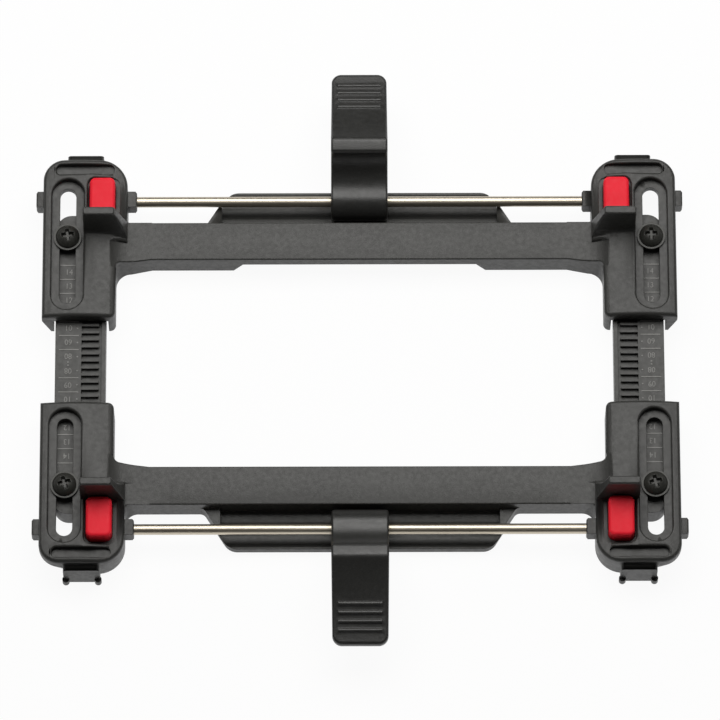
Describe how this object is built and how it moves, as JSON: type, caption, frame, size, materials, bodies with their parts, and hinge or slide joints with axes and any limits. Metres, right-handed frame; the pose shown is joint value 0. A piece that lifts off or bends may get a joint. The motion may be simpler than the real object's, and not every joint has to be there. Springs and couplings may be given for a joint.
{
  "type": "clip-on bicycle rack adapter",
  "caption": "Flat rectangular frame that clips a basket to a bicycle rack: sliding halves on toothed scale bars, sprung hook levers, corner lugs and soft pads.",
  "frame": {"origin": "middle of the adapter on its basket side, at the pictured setting of the frames", "axes": "+X along the rack (front), +Y across it (left), +Z towards the rack"},
  "size_m": [0.216, 0.2014, 0.027],
  "materials": {
    "frame_plastic": "fine matt grain",
    "bar_plastic": "matt",
    "lever_plastic": "fine matt grain",
    "spring_steel": "bright drawn",
    "red_rubber": "soft satin",
    "black_steel": "black coated"
  },
  "bodies": {
    "scale_bars": {"front_scale_bar": "bar_plastic", "rear_scale_bar": "bar_plastic", "left_front_screw": "black_steel", "left_front_washer": "black_steel", "left_rear_screw": "black_steel", "left_rear_washer": "black_steel", "right_front_screw": "black_steel", "right_front_washer": "black_steel", "right_rear_screw": "black_steel", "right_rear_washer": "black_steel"},
    "left_frame": {"left_frame": "frame_plastic", "left_spring_rod": "spring_steel", "left_front_pad": "red_rubber", "left_rear_pad": "red_rubber"},
    "left_lever": {"left_lever": "lever_plastic"},
    "right_frame": {"right_frame": "frame_plastic", "right_spring_rod": "spring_steel", "right_front_pad": "red_rubber", "right_rear_pad": "red_rubber"},
    "right_lever": {"right_lever": "lever_plastic"}
  },
  "joints": [
    {"name": "left_frame_slide", "type": "slide", "parent": "scale_bars", "child": "left_frame", "axis": [0, 1, 0], "range_m": [-0.0145, 0.021]},
    {"name": "left_lever_hinge", "type": "hinge", "parent": "left_frame", "child": "left_lever", "pos_m": [0, 0.058, 0.0082], "axis": [1, 0, 0], "range_deg": [0, 107]},
    {"name": "right_frame_slide", "type": "slide", "parent": "scale_bars", "child": "right_frame", "axis": [0, -1, 0], "range_m": [-0.0145, 0.021]},
    {"name": "right_lever_hinge", "type": "hinge", "parent": "right_frame", "child": "right_lever", "pos_m": [0, -0.058, 0.0082], "axis": [-1, 0, 0], "range_deg": [0, 107]}
  ]
}
